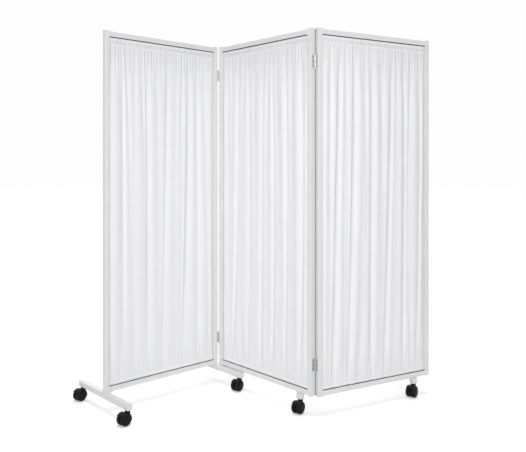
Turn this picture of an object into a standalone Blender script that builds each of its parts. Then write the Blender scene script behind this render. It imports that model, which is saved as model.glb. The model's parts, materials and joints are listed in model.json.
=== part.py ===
# Mobile folding screen: three curtained steel frames, hinged in a zigzag, on five twin-wheel castors.
# Lengths are in metres and angles in radians. +Z is up, and the floor is at Z = 0.

import bpy
import bmesh
from math import acos, asin, cos, pi, radians, sin
from mathutils import Matrix, Vector

# Fits shared by every piece
seat_gap = 0.0003          # left between two pieces that touch
overrun = 0.001            # how far a cutter reaches past what it cuts

# Panel frames, of square tube
frame_height = 1.560
panel_width = 0.620
tube_side = 0.022
tube_wall = 0.0015
tube_corner = 0.0025

# Caps in the open tops of the posts, and the closed lower ends of the posts that stand free
cap_rise = 0.0026
cap_plug_length = 0.014
cap_edge = 0.0009
closed_end_rise = 0.0020

# Pose in which the screen stands
left_turn = radians(42.4)
valley_turn = radians(-90.2)
mountain_turn = radians(76.4)

# Butt hinges between the panels
hinge_gap = 0.004          # between two panels in line
pivot_proud = 0.0022       # pivot in front of the faces that close on each other
hinge_height = 0.054
hinge_from_top = 0.138
hinge_from_bottom = 0.132
leaf_thickness = 0.0012
knuckle_radius = 0.003
pin_radius = 0.0015
leaf_reach = 0.016         # from the pivot to the leaf's free edge
hinge_hole_radius = 0.0018
hinge_sink_radius = 0.0029
hinge_hole_from_end = 0.009

# Curtains, with a stiff band along each hem that holds them to the rails
band_depth = 0.016
band_thickness = 0.005
curtain_thickness = 0.003
curtain_side_gap = 0.002
fold_depth = 0.006
fold_count = 17
hem_height = 0.030
header_height = 0.046
hem_tuck = 0.001           # of the cloth into each band

# Feet of square tube under the left panel, and castor blocks under the other two
foot_side = 0.025
foot_wall = 0.0015
foot_corner = 0.0025
cross_foot_inset = 0.012   # its centreline from the panel's outer end
foot_front = 0.191         # from the panel's middle plane to the end of either foot
cross_foot_back = 0.229
half_foot_back = 0.051
foot_cap_thickness = 0.003
foot_plug_length = 0.032
castor_inset = 0.018       # castor stem from the foot's end
centre_block_inset = 0.072
right_block_inset = 0.086
block_corner = 0.0015

# Plates welded on the feet and blocks, which fix them under their frames
plate_thickness = 0.0027
plate_tab = 0.0115
plate_hole_radius = 0.0023
weld_depth = 0.0005

# Castors
castor_headroom = 0.009    # from the wheels' tops up to the feet
castor_trail = 0.020
castor_heading = radians(236)
wheel_radius = 0.025
wheel_width = 0.0215
wheel_gap = 0.0006
web_thickness = 0.005
axle_radius = 0.003
axle_bore_depth = 0.012
hub_radius = 0.008
hood_gap = 0.0012
hood_wall = 0.002
hood_rear = radians(38)    # ends of the hood's arch, measured up from behind the axle
hood_front = radians(200)
neck_radius = 0.011
collar_radius = 0.008
collar_thickness = 0.0012
stem_radius = 0.004
stem_seat_depth = 0.0095   # of the stem in the hood's neck
stem_rise = 0.022          # of the stem in the foot

# Shares of a wheel's width and radius, from its inner edge over the tread to its face
wheel_shares = ((0.0, 0.94), (0.08, 1.0), (0.50, 1.0), (0.76, 0.93), (0.93, 0.74), (1.0, 0.36))
# The same for the hood's arch, from the middle out
hood_shares = ((0.50, 1.0), (0.80, 0.91))
# Shares of the fold depth at the curtain's lower band, the main folds and the upper band
curtain_level_shares = (0.45, 1.0, 1.0, 0.45)
# Shape of the folds: how far they wander, how often, and the part and rate of a finer wave
fold_wander_share = 0.55
fold_wander_turns = 3.3
fine_fold_share = 0.28
fine_fold_rate = 2.6

# Steps round curved shapes
corner_steps = 2
round_steps = 12
small_round_steps = 10
wheel_steps = 18
hood_steps = 10
columns_per_fold = 5

# Heights that follow
foot_bottom = 2 * wheel_radius + castor_headroom
foot_top = foot_bottom + foot_side
plate_top = foot_top + plate_thickness
frame_bottom = plate_top + seat_gap
frame_top = frame_bottom + frame_height
band_bottom = frame_bottom + tube_side + seat_gap
band_top = frame_top - tube_side - seat_gap
lower_hinge = frame_bottom + hinge_from_bottom - hinge_height / 2
upper_hinge = frame_top - hinge_from_top - hinge_height / 2
hinge_hole_heights = (hinge_hole_from_end, hinge_height / 2, hinge_height - hinge_hole_from_end)

# Places that follow, along a panel and from front to back, measured from its pivot
half_gap = hinge_gap / 2
left_panel_start = -half_gap - panel_width
next_pivot_along = panel_width + hinge_gap
next_pivot_back = tube_side + 2 * pivot_proud
valley_face = pivot_proud
mountain_face = -pivot_proud - tube_side
leaf_outer = half_gap - seat_gap
leaf_inner = leaf_outer - leaf_thickness
leaf_start = knuckle_radius + 2 * seat_gap
leaf_middle = (leaf_start + leaf_reach) / 2
hole_from_middle = pivot_proud + tube_side / 2 - leaf_middle

up = Vector((0, 0, 1))


def clear_scene():
    for item in list(bpy.data.objects):
        bpy.data.objects.remove(item, do_unlink=True)


def material(name, colour, roughness, metallic):
    surface = bpy.data.materials.new(name)
    surface.use_nodes = True
    shader = surface.node_tree.nodes["Principled BSDF"]
    shader.inputs["Base Color"].default_value = (*colour, 1)
    shader.inputs["Roughness"].default_value = roughness
    shader.inputs["Metallic"].default_value = metallic
    return surface


def body(name, parent, place, turn):
    """Empty on a joint's axis, which carries the pieces that move with it."""
    carrier = bpy.data.objects.new(name, None)
    carrier.parent = parent
    carrier.location = place
    carrier.rotation_euler.z = turn
    bpy.context.scene.collection.objects.link(carrier)
    return carrier


def finish_mesh(build, name):
    bmesh.ops.recalc_face_normals(build, faces=build.faces)
    mesh = bpy.data.meshes.new(name)
    build.to_mesh(mesh)
    build.free()
    return mesh


def piece(name, mesh, carrier, surface, place=(0, 0, 0), turn=0):
    """Object of one node, placed on its carrier, with its own mesh and material."""
    item = bpy.data.objects.new(name, mesh.copy())
    item.parent = carrier
    item.location = place
    item.rotation_euler.z = turn
    item.data.materials.clear()
    item.data.materials.append(surface.copy())
    item.data.shade_smooth()
    item.data.set_sharp_from_angle(angle=radians(32))
    bpy.context.scene.collection.objects.link(item)


def carve(base, tools):
    """Mesh of the base with each tool shape cut out of it or joined to it, in order."""
    collection = bpy.context.scene.collection
    target = bpy.data.objects.new("shape", base)
    collection.objects.link(target)
    helpers = []
    for operation, shape in tools:
        helper = bpy.data.objects.new("tool", shape)
        helper.hide_render = True
        helper.display_type = "WIRE"
        collection.objects.link(helper)
        helpers.append(helper)
        change = target.modifiers.new(operation, "BOOLEAN")
        change.operation = operation
        change.object = helper
    graph = bpy.context.evaluated_depsgraph_get()
    result = bpy.data.meshes.new_from_object(target.evaluated_get(graph))
    for item in [target] + helpers:
        bpy.data.objects.remove(item, do_unlink=True)
    return result


def rounded_rectangle(width, depth, corner):
    """Points of a rectangle with round corners, centred on zero."""
    points = []
    for quarter in range(4):
        across = (width / 2 - corner) * (1 if quarter in (0, 3) else -1)
        along = (depth / 2 - corner) * (1 if quarter in (0, 1) else -1)
        for step in range(corner_steps + 1):
            angle = (quarter + step / corner_steps) * pi / 2
            points.append((across + corner * cos(angle), along + corner * sin(angle)))
    return points


def skin(rings, closed=False):
    """Solid over rings with the same number of points, closed by end faces or on itself."""
    build = bmesh.new()
    loops = [[build.verts.new(point) for point in ring] for ring in rings]
    follow = loops[1:] + loops[:1] if closed else loops[1:]
    for first, second in zip(loops, follow):
        for place, vertex in enumerate(first):
            after = (place + 1) % len(first)
            build.faces.new((vertex, first[after], second[after], second[place]))
    if not closed:
        build.faces.new(loops[0])
        build.faces.new(loops[-1])
    return finish_mesh(build, "skin")


def stack(levels, centre=(0, 0)):
    """Solid over level outlines, each given with its height."""
    return skin([[(centre[0] + across, centre[1] + along, height) for across, along in outline]
                 for outline, height in levels])


def block(low, high):
    """Box between two opposite corners."""
    outline = ((low[0], low[1]), (high[0], low[1]), (high[0], high[1]), (low[0], high[1]))
    return stack(((outline, low[2]), (outline, high[2])))


def square_tube(side, wall, corner, length, closed_rise=None):
    """Hollow square tube along Z, open at the top, and open or closed by a plain end below."""
    outer = rounded_rectangle(side, side, corner)
    inner = rounded_rectangle(side - 2 * wall, side - 2 * wall, max(corner - wall, wall / 2))
    if closed_rise is not None:
        return stack(((outer, -closed_rise), (outer, length), (inner, length), (inner, wall)))
    rings = [[(*point, height) for point in outline]
             for outline, height in ((outer, 0), (outer, length), (inner, length), (inner, 0))]
    return skin(rings, closed=True)


def turned(outline, steps, frame=Matrix()):
    """Solid turned about Z from an outline of radius and height that starts and ends on the axis."""
    build = bmesh.new()
    angles = [2 * pi * (step + 1 / 2) / steps for step in range(steps)]
    loops = []
    for radius, height in outline[1:-1]:
        ring = [Vector((radius * cos(angle), radius * sin(angle), height)) for angle in angles]
        loops.append([build.verts.new(frame @ point) for point in ring])
    poles = [build.verts.new(frame @ Vector((0, 0, outline[end][1]))) for end in (0, -1)]
    for place in range(steps):
        after = (place + 1) % steps
        build.faces.new((loops[0][place], loops[0][after], poles[0]))
        build.faces.new((loops[-1][place], loops[-1][after], poles[1]))
        for first, second in zip(loops, loops[1:]):
            build.faces.new((first[place], first[after], second[after], second[place]))
    return finish_mesh(build, "turned")


def rod(radius, low, high, steps, frame=Matrix()):
    return turned(((0, low), (radius, low), (radius, high), (0, high)), steps, frame)


def lay_along(direction, place):
    """Frame that lays a shape made along Z in another direction, at a place."""
    turn = up.rotation_difference(Vector(direction)).to_matrix().to_4x4()
    return Matrix.Translation(place) @ turn


# Panels

def post(name, carrier, start, face, surface, outward, pivot_side, stands_free):
    """Upright tube. Its end face has screw holes for hinges, whose pivots are in front, -1, or behind, 1."""
    closed_rise = closed_end_rise if stands_free else None
    mesh = square_tube(tube_side, tube_wall, tube_corner, frame_height, closed_rise)
    holes = []
    for hinge in (lower_hinge, upper_hinge) if pivot_side else ():
        for height in hinge_hole_heights:
            wall_place = Vector((
                outward * (tube_side / 2 - tube_wall),
                pivot_side * hole_from_middle,
                hinge + height - frame_bottom,
            ))
            frame = lay_along((outward, 0, 0), wall_place)
            holes.append(("DIFFERENCE", rod(hinge_hole_radius, -overrun, tube_wall + overrun,
                                            small_round_steps, frame)))
    if holes:
        mesh = carve(mesh, holes)
    piece(name, mesh, carrier, surface, (start + tube_side / 2, face + tube_side / 2, frame_bottom))


def rail(name, carrier, start, face, height, surface, hole_along=None):
    """Level tube between two posts. A bottom rail has a hole for the screw of its foot or block."""
    middle = face + tube_side / 2
    mesh = square_tube(tube_side, tube_wall, tube_corner, panel_width - 2 * (tube_side + seat_gap))
    mesh.transform(lay_along((1, 0, 0), (start + tube_side + seat_gap, middle, height)))
    if hole_along is not None:
        underside = Matrix.Translation((hole_along, middle, height - tube_side / 2))
        hole = rod(plate_hole_radius, -overrun, tube_wall + overrun, small_round_steps, underside)
        mesh = carve(mesh, [("DIFFERENCE", hole)])
    piece(name, mesh, carrier, surface)


def post_cap(name, carrier, start, face, surface):
    """Cap on a post's top: a head with eased edges, and a plug inside the tube."""
    plug_side = tube_side - 2 * (tube_wall + seat_gap)
    plug_corner = max(tube_corner - tube_wall - seat_gap, tube_wall / 4)
    plug = rounded_rectangle(plug_side, plug_side, plug_corner)
    head = rounded_rectangle(tube_side, tube_side, tube_corner)
    crown = rounded_rectangle(tube_side - 2 * cap_edge, tube_side - 2 * cap_edge, tube_corner)
    levels = (
        (plug, -cap_plug_length),
        (plug, seat_gap),
        (head, seat_gap),
        (head, seat_gap + cap_rise - cap_edge),
        (crown, seat_gap + cap_rise),
    )
    piece(name, stack(levels), carrier, surface, (start + tube_side / 2, face + tube_side / 2, frame_top))


def curtain_sheet(first, reach, middle, low, high, wander_start):
    """Wavy sheet whose folds flatten towards both hems."""
    levels = (low, low + hem_tuck + hem_height, high - hem_tuck - header_height, high)
    columns = fold_count * columns_per_fold
    rings = []
    for share, height in zip(curtain_level_shares, levels):
        front = []
        for column in range(columns + 1):
            along = column / columns
            wander = fold_wander_share * sin(2 * pi * fold_wander_turns * along + wander_start)
            phase = 2 * pi * (fold_count * along + wander)
            wave = (1 - fine_fold_share) * sin(phase) + fine_fold_share * sin(fine_fold_rate * phase)
            back = middle + share * fold_depth * wave - curtain_thickness / 2
            front.append(Vector((first + along * reach, back, height)))
        rear = [point + Vector((0, curtain_thickness, 0)) for point in reversed(front)]
        rings.append(front + rear)
    return skin(rings)


def curtain(name, carrier, start, face, surface, wander_start):
    """Gathered cloth in its frame, with a stiff band along the rail at each hem."""
    first = start + tube_side + curtain_side_gap
    reach = panel_width - 2 * (tube_side + curtain_side_gap)
    middle = face + tube_side / 2
    low = band_bottom + band_thickness
    high = band_top - band_thickness
    sheet = curtain_sheet(first, reach, middle, low - hem_tuck, high + hem_tuck, wander_start)
    front = middle - band_depth / 2
    ends = (start + tube_side + seat_gap, start + panel_width - tube_side - seat_gap)
    lower = block((ends[0], front, band_bottom), (ends[1], front + band_depth, low))
    upper = block((ends[0], front, high), (ends[1], front + band_depth, band_top))
    piece(name, carve(sheet, [("UNION", lower), ("UNION", upper)]), carrier, surface)


def panel(side, carrier, start, face, surfaces, pivot_sides, stands_free, hole_along, wander_start):
    """One panel: two posts with their caps, two rails, and the curtain."""
    steel = surfaces["frame"]
    places = (("left", start, -1), ("right", start + panel_width - tube_side, 1))
    for end, place, outward in places:
        pivot_side = pivot_sides.get(end, 0)
        post(f"{side}_panel_{end}_post", carrier, place, face, steel, outward, pivot_side, stands_free)
        post_cap(f"{side}_panel_{end}_post_cap", carrier, place, face, surfaces["cap"])
    rail(f"{side}_panel_top_rail", carrier, start, face, frame_top - tube_side / 2, steel)
    rail(f"{side}_panel_bottom_rail", carrier, start, face, frame_bottom + tube_side / 2, steel, hole_along)
    curtain(f"{side}_curtain", carrier, start, face, surfaces["cloth"], wander_start)


# Hinges: each leaf lies on a post's end face, and its knuckles close round the pin in front of it

def leaf_outline():
    """Leaf seen from above: its plate, and the round knuckle that it is rolled into."""
    first = acos(leaf_inner / knuckle_radius)
    last = 2 * pi + acos(leaf_outer / knuckle_radius)
    points = []
    for step in range(round_steps + 1):
        angle = first + (last - first) * step / round_steps
        points.append((knuckle_radius * cos(angle), knuckle_radius * sin(angle)))
    points.append((leaf_outer, leaf_reach))
    points.append((leaf_inner, leaf_reach))
    return points


def hinge_leaf(cut_knuckles):
    """Leaf to the right of its pin, with sunk screw holes, and without the other leaf's knuckles."""
    leaf = stack(((leaf_outline(), 0), (leaf_outline(), hinge_height)))
    knuckle_height = hinge_height / 3
    clear = knuckle_radius + overrun
    tools = []
    for knuckle in cut_knuckles:
        low = knuckle * knuckle_height + (-seat_gap / 2 if knuckle > 0 else -overrun)
        high = (knuckle + 1) * knuckle_height + (seat_gap / 2 if knuckle < 2 else overrun)
        tools.append(("DIFFERENCE", block((-clear, -clear, low), (clear, leaf_start, high))))
    bore = rod(pin_radius + seat_gap, -overrun, hinge_height + overrun, small_round_steps)
    tools.append(("DIFFERENCE", bore))
    outline = (
        (0, -overrun),
        (hinge_sink_radius, -overrun),
        (hinge_sink_radius, 0),
        (hinge_hole_radius, leaf_thickness),
        (hinge_hole_radius, leaf_thickness + overrun),
        (0, leaf_thickness + overrun),
    )
    for height in hinge_hole_heights:
        frame = lay_along((1, 0, 0), (leaf_inner, leaf_middle, height))
        tools.append(("DIFFERENCE", turned(outline, small_round_steps, frame)))
    return carve(leaf, tools)


def mirrored(mesh):
    copy = mesh.copy()
    copy.transform(Matrix.Scale(-1, 4, (1, 0, 0)))
    copy.flip_normals()
    return copy


def hinges(left, centre, right, surface):
    """Two hinges at each fold. The centre panel has the middle knuckles, the others the end ones."""
    end_leaf = hinge_leaf((1,))
    middle_leaf = hinge_leaf((0, 2))
    pin = rod(pin_radius, 0, hinge_height, small_round_steps)
    for level, height in (("lower", lower_hinge), ("upper", upper_hinge)):
        pivot = (0, 0, height)
        next_pivot = (next_pivot_along, next_pivot_back, height)
        piece(f"left_fold_{level}_hinge_left_leaf", mirrored(end_leaf), left, surface, pivot)
        piece(f"left_fold_{level}_hinge_right_leaf", middle_leaf, centre, surface, pivot)
        piece(f"left_fold_{level}_hinge_pin", pin, left, surface, pivot)
        piece(f"right_fold_{level}_hinge_left_leaf", middle_leaf, centre, surface, next_pivot, pi)
        piece(f"right_fold_{level}_hinge_right_leaf", mirrored(end_leaf), right, surface, pivot, pi)
        piece(f"right_fold_{level}_hinge_pin", pin, right, surface, pivot)


# Feet, castor blocks and their plates

def plate_on(foot_mesh, first, last, middle, hole_along):
    """Foot or block with its plate welded on top, and a screw hole in the plate's free end."""
    low = (first, middle - tube_side / 2, foot_top - weld_depth)
    high = (last, middle + tube_side / 2, plate_top)
    tools = [("UNION", block(low, high))]
    if hole_along is not None:
        centre = Matrix.Translation((hole_along, middle, plate_top))
        hole = rod(plate_hole_radius, -plate_thickness - weld_depth - overrun, overrun,
                   small_round_steps, centre)
        tools.append(("DIFFERENCE", hole))
    return carve(foot_mesh, tools)


def stem_hole(along, place, depth):
    """Cutter for a castor's stem, upwards into a foot or block."""
    frame = Matrix.Translation((along, place, foot_bottom))
    return ("DIFFERENCE", rod(stem_radius + seat_gap, -overrun, depth, round_steps, frame))


def foot(along, middle, front, back, castors, closed_back):
    """Level tube from front to back under a panel, with a hole below for each castor's stem."""
    end = foot_cap_thickness + seat_gap
    wall_end = foot_cap_thickness if closed_back else None
    length = front + back - 2 * end
    mesh = square_tube(foot_side, foot_wall, foot_corner, length, wall_end)
    mesh.transform(lay_along((0, -1, 0), (along, middle + back - end, foot_bottom + foot_side / 2)))
    return carve(mesh, [stem_hole(along, place, foot_wall + overrun) for place in castors])


def foot_cap(name, carrier, along, end, inward, surface):
    """Cap on a foot's end, with a plug that is bored for the castor's stem."""
    plug_side = foot_side - 2 * (foot_wall + seat_gap)
    plug_corner = max(foot_corner - foot_wall - seat_gap, foot_wall / 4)
    head = rounded_rectangle(foot_side, foot_side, foot_corner)
    crown = rounded_rectangle(foot_side - 2 * cap_edge, foot_side - 2 * cap_edge, foot_corner)
    plug = rounded_rectangle(plug_side, plug_side, plug_corner)
    mesh = stack((
        (crown, 0),
        (head, cap_edge),
        (head, foot_cap_thickness),
        (plug, foot_cap_thickness),
        (plug, foot_plug_length),
    ))
    mesh.transform(lay_along((0, inward, 0), (along, end, foot_bottom + foot_side / 2)))
    bore = stem_hole(along, end + inward * castor_inset, stem_rise + seat_gap)
    piece(name, carve(mesh, [bore]), carrier, surface)


def castor_block(along, middle):
    """Short block under a bottom rail, bored from below for the castor's stem."""
    outline = rounded_rectangle(foot_side, foot_side, block_corner)
    mesh = stack(((outline, foot_bottom), (outline, foot_top)), (along, middle))
    return carve(mesh, [stem_hole(along, middle, stem_rise + seat_gap)])


# Castors, with the wheels trailing along +X from the stem

neck_top = foot_bottom - collar_thickness - 2 * seat_gap
neck_bottom = wheel_radius + hub_radius
shell_middle = wheel_radius + hood_gap + hood_wall / 2
half_web = web_thickness / 2
axle_frame = lay_along((0, 1, 0), (castor_trail, 0, wheel_radius))


def hood_shell():
    """Arch over both wheels, which follows the curve of their treads."""
    near = [(half_web + wheel_gap + share * wheel_width, radius_share * wheel_radius + hood_gap)
            for share, radius_share in hood_shares]
    inner = [(-across, radius) for across, radius in reversed(near)] + near
    outer = [(across, radius + hood_wall) for across, radius in reversed(inner)]
    rings = []
    for step in range(hood_steps + 1):
        angle = hood_rear + (hood_front - hood_rear) * step / hood_steps
        rings.append([(castor_trail + radius * cos(angle), across, wheel_radius + radius * sin(angle))
                      for across, radius in inner + outer])
    return skin(rings)


def hood_web():
    """Web between the wheels: it fills the arch and narrows to a boss round the axle."""
    edge = asin(hood_wall / shell_middle)
    first = hood_rear + edge
    last = hood_front - edge
    points = []
    for step in range(hood_steps + 1):
        angle = first + (last - first) * step / hood_steps
        points.append((shell_middle * cos(angle), shell_middle * sin(angle)))
    for step in range(round_steps + 1):
        angle = last + (first + 2 * pi - last) * step / round_steps
        points.append((hub_radius * cos(angle), hub_radius * sin(angle)))
    return skin([[(castor_trail + across, side, wheel_radius + height) for across, height in points]
                 for side in (-half_web, half_web)])


def hood_mesh():
    """Hood of a castor: the neck round the stem, the arch, the web and the axle pressed into it."""
    neck = rod(neck_radius, neck_bottom, neck_top, round_steps)
    wheel_room = rod(shell_middle, -wheel_width, wheel_width, 2 * round_steps, axle_frame)
    half_axle = half_web + wheel_gap + axle_bore_depth - seat_gap
    axle = rod(axle_radius, -half_axle, half_axle, small_round_steps, axle_frame)
    bore = rod(stem_radius + seat_gap, neck_top - stem_seat_depth, neck_top + overrun, round_steps)
    return carve(neck, [("DIFFERENCE", wheel_room), ("UNION", hood_shell()), ("UNION", hood_web()),
                        ("UNION", axle), ("DIFFERENCE", bore)])


def wheel_mesh():
    """Wheel with its axle along Y: a bored inner face, a tread with round shoulders and a domed face."""
    inner_face = half_web + wheel_gap
    facet_share = 1 / cos(pi / wheel_steps)
    bore = axle_radius + seat_gap
    outline = [(0, inner_face + axle_bore_depth), (bore, inner_face + axle_bore_depth), (bore, inner_face)]
    for share, radius_share in wheel_shares:
        outline.append((radius_share * wheel_radius * facet_share, inner_face + share * wheel_width))
    outline.append((0, inner_face + wheel_width))
    facet_down = Matrix.Rotation(pi / 2 - 2 * pi * (wheel_steps // 4) / wheel_steps, 4, "Z")
    return turned(outline, wheel_steps, Matrix.Rotation(-pi / 2, 4, "X") @ facet_down)


def stem_mesh():
    """Stem from the hood's neck into the foot, with a collar between them."""
    low = neck_top - stem_seat_depth + seat_gap
    return turned((
        (0, low),
        (stem_radius, low),
        (stem_radius, neck_top + seat_gap),
        (collar_radius, neck_top + seat_gap),
        (collar_radius, foot_bottom - seat_gap),
        (stem_radius, foot_bottom - seat_gap),
        (stem_radius, foot_bottom + stem_rise),
        (0, foot_bottom + stem_rise),
    ), round_steps)


def castor(name, carrier, carrier_turn, place, shapes, surfaces):
    """Castor under a foot or block: the stem stays with the foot, the hood swivels, the wheels roll."""
    hood, wheel, stem = shapes
    piece(f"{name}_stem", stem, carrier, surfaces["steel"], place)
    swivel = body(f"{name}_swivel", carrier, place, castor_heading - carrier_turn)
    piece(f"{name}_hood", hood, swivel, surfaces["castor"])
    axle = (castor_trail, 0, wheel_radius)
    piece(f"{name}_left_wheel", wheel, swivel, surfaces["wheel"], axle)
    piece(f"{name}_right_wheel", wheel, swivel, surfaces["wheel"], axle, pi)


def stand_on_origin(root):
    """Shift the whole screen so that its footprint is centred on the origin."""
    bpy.context.view_layer.update()
    corners = [item.matrix_world @ vertex.co
               for item in bpy.data.objects if item.type == "MESH" for vertex in item.data.vertices]
    for axis in (0, 1):
        values = [corner[axis] for corner in corners]
        root.location[axis] = -(min(values) + max(values)) / 2
    bpy.context.view_layer.update()


def build_screen():
    clear_scene()
    surfaces = {
        "frame": material("painted_steel", (0.66, 0.67, 0.68), 0.42, 0.0),
        "cap": material("cap_plastic", (0.70, 0.71, 0.72), 0.5, 0.0),
        "cloth": material("curtain_cloth", (0.83, 0.84, 0.86), 0.9, 0.0),
        "zinc": material("zinc_hinge", (0.72, 0.73, 0.74), 0.35, 1.0),
        "steel": material("bright_steel", (0.55, 0.56, 0.58), 0.35, 1.0),
        "castor": material("castor_plastic", (0.012, 0.012, 0.015), 0.38, 0.0),
        "wheel": material("wheel_plastic", (0.016, 0.016, 0.019), 0.5, 0.0),
    }
    centre_turn = left_turn + valley_turn
    right_turn = centre_turn + mountain_turn
    root = body("screen", None, (0, 0, 0), 0)
    left = body("left_panel", root, (0, 0, 0), left_turn)
    centre = body("centre_panel", left, (0, 0, 0), valley_turn)
    right = body("right_panel", centre, (next_pivot_along, next_pivot_back, 0), mountain_turn)

    # Where the feet and blocks stand, and where their plates end
    half_foot_side = foot_side / 2
    cross_along = left_panel_start + cross_foot_inset
    cross_end = cross_along + half_foot_side + plate_tab
    cross_hole = cross_end - plate_tab / 2
    centre_along = half_gap + panel_width - centre_block_inset
    centre_end = centre_along + half_foot_side + plate_tab
    centre_hole = centre_end - plate_tab / 2
    right_along = half_gap + panel_width - right_block_inset
    right_start = right_along - half_foot_side - plate_tab
    right_hole = right_start + plate_tab / 2
    middle = valley_face + tube_side / 2
    right_middle = mountain_face + tube_side / 2
    front_end = middle - foot_front
    back_end = middle + cross_foot_back
    front_stem = front_end + castor_inset
    back_stem = back_end - castor_inset

    panel("left", left, left_panel_start, valley_face, surfaces,
          {"right": -1}, False, cross_hole, radians(23))
    panel("centre", centre, half_gap, valley_face, surfaces,
          {"left": -1, "right": 1}, True, centre_hole, radians(120))
    panel("right", right, half_gap, mountain_face, surfaces,
          {"left": 1}, True, right_hole, radians(252))
    hinges(left, centre, right, surfaces["zinc"])

    # Feet under the left panel
    cross = foot(cross_along, middle, foot_front, cross_foot_back, (front_stem, back_stem), False)
    half = foot(0, middle, foot_front, half_foot_back, (front_stem,), True)
    cross = plate_on(cross, left_panel_start, cross_end, middle, cross_hole)
    half = plate_on(half, -half_foot_side - plate_tab, -half_gap, middle, None)
    piece("cross_foot", cross, left, surfaces["frame"])
    piece("half_foot", half, left, surfaces["frame"])
    foot_cap("cross_foot_front_cap", left, cross_along, front_end, 1, surfaces["cap"])
    foot_cap("cross_foot_back_cap", left, cross_along, back_end, -1, surfaces["cap"])
    foot_cap("half_foot_cap", left, 0, front_end, 1, surfaces["cap"])

    # Castor blocks under the other two panels
    centre_block = plate_on(castor_block(centre_along, middle), centre_along - half_foot_side,
                            centre_end, middle, centre_hole)
    right_block = plate_on(castor_block(right_along, right_middle), right_start,
                           right_along + half_foot_side, right_middle, right_hole)
    piece("centre_castor_block", centre_block, centre, surfaces["frame"])
    piece("right_castor_block", right_block, right, surfaces["frame"])

    # Castors
    shapes = (hood_mesh(), wheel_mesh(), stem_mesh())
    places = (
        ("back_castor", left, left_turn, (cross_along, back_stem, 0)),
        ("front_castor", left, left_turn, (cross_along, front_stem, 0)),
        ("fold_castor", left, left_turn, (0, front_stem, 0)),
        ("centre_castor", centre, centre_turn, (centre_along, middle, 0)),
        ("right_castor", right, right_turn, (right_along, right_middle, 0)),
    )
    for name, carrier, turn, place in places:
        castor(name, carrier, turn, place, shapes, surfaces)

    stand_on_origin(root)


build_screen()
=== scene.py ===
# Mobile folding screen: curtains, castors, a grey bead standing in for the right fold's shadow, screws,
# welds and finishes round the imported frame.
# Lengths are in metres. A panel's own frame has X along the panel from its pivot, and Y from front to back.

import json
from math import pi, radians

import bpy
import numpy as np
from mathutils import Matrix, Vector


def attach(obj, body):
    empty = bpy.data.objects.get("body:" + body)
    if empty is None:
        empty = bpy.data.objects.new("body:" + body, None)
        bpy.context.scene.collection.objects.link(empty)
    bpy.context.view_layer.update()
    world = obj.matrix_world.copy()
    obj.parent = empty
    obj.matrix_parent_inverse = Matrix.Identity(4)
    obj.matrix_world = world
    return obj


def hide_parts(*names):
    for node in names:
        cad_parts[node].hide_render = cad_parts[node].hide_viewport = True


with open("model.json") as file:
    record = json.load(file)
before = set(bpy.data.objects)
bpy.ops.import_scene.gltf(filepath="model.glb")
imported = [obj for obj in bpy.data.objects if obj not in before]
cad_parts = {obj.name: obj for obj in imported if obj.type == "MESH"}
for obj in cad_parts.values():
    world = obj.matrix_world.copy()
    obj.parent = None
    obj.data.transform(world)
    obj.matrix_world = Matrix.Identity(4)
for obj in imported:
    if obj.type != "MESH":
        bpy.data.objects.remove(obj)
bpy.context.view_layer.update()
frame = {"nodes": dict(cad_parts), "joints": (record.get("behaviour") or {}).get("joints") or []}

bpy.ops.object.select_all(action="DESELECT")

# Sizes of the frames
panel_width = 0.620
tube_side = 0.022
tube_corner = 0.0025
half_gap = 0.002              # from a pivot to its panel's post
post_middle = 0.0132          # from the pivots' plane to the middle of the tubes
frame_bottom = 0.087
frame_top = 1.647
opening_width = panel_width - 2 * tube_side
left_start = -half_gap - panel_width

# Turns in which the panels stand
panel_turns = {"left": radians(42.4), "centre": radians(-47.8), "right": radians(28.6)}

# Sizes of the hinges, and where their lower ends stand
hinge_height = 0.054
hinge_hole_from_end = 0.009
leaf_face = 0.0005            # from the pivot to a leaf's open face
leaf_hole_depth = 0.0098      # from the pivot to a leaf's holes
hinge_levels = {"lower": 0.192, "upper": 1.482}

# Sizes of the curtains
# The strips along the rails are near-black, standing in for the shadow in the slot between rail and cloth:
# painted shadow
strip_heights = {"top": 0.0019, "bottom": 0.0012}
strip_depth = 0.014
strip_edge = 0.0004
strip_end_gap = 0.0002
strip_lap = 0.0001            # of each strip over the cloth's edge
cloth_side_gap = 0.0012
cloth_thickness = 0.0005
cloth_columns = 561
cloth_row_count = 85
row_crowding = 1.7            # how much closer the rows lie towards both ends
fold_depths = {"left": 0.0070, "centre": 0.0088, "right": 0.0086}
pleat_depth = 0.0042
pucker_depth = 0.0030
pucker_counts = (41, 73)      # large and small ones
wire_radius = 0.0007
header_wire_drop = 0.0178     # from the strips to the wires
hem_wire_rise = 0.0062
wire_end_gap = 0.0003
wire_cover = 0.0006           # of cloth over the wire
edge_waviness = 0.0004
swell_count = 31
dip_count = 24
gathered_fullness = 1.35
yarn_spacing = 0.0009
rib_spacing = 0.0011          # of the strips

# Shares of a curtain's height, from the top: where the creases' middle places are given, how far above and
# below that the other two are, and from where to where the folds and the waist open and close
mid_height_share = 0.47
level_step_share = 0.42
fold_opening = (0.014, 0.20)
fold_closing = (0.90, 0.995)
waist_opening = (0.03, 0.70)
waist_closing = (0.93, 0.995)

# Shape of the folds, in shares of their depth and of the curtain's width
gathered_share = 0.10         # of the depth, left at the header and the hem
post_crease_share = 0.6
fold_middle_share = 0.45
narrow_fold_share = 0.72
usual_fold_width = 0.10
widest_fold = 1.2             # times the usual width
slack_share = 0.08
crease_powers = (1.2, 1.6, 1.5)    # from how deep a crease looks at its three levels to its depth
fold_fullness = 1.0           # of the crests between creases
crease_blunting = 0.02
crease_swing = 0.141          # height of the blunted wave in its creases
crest_rise = 0.869            # from there to its crests

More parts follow.
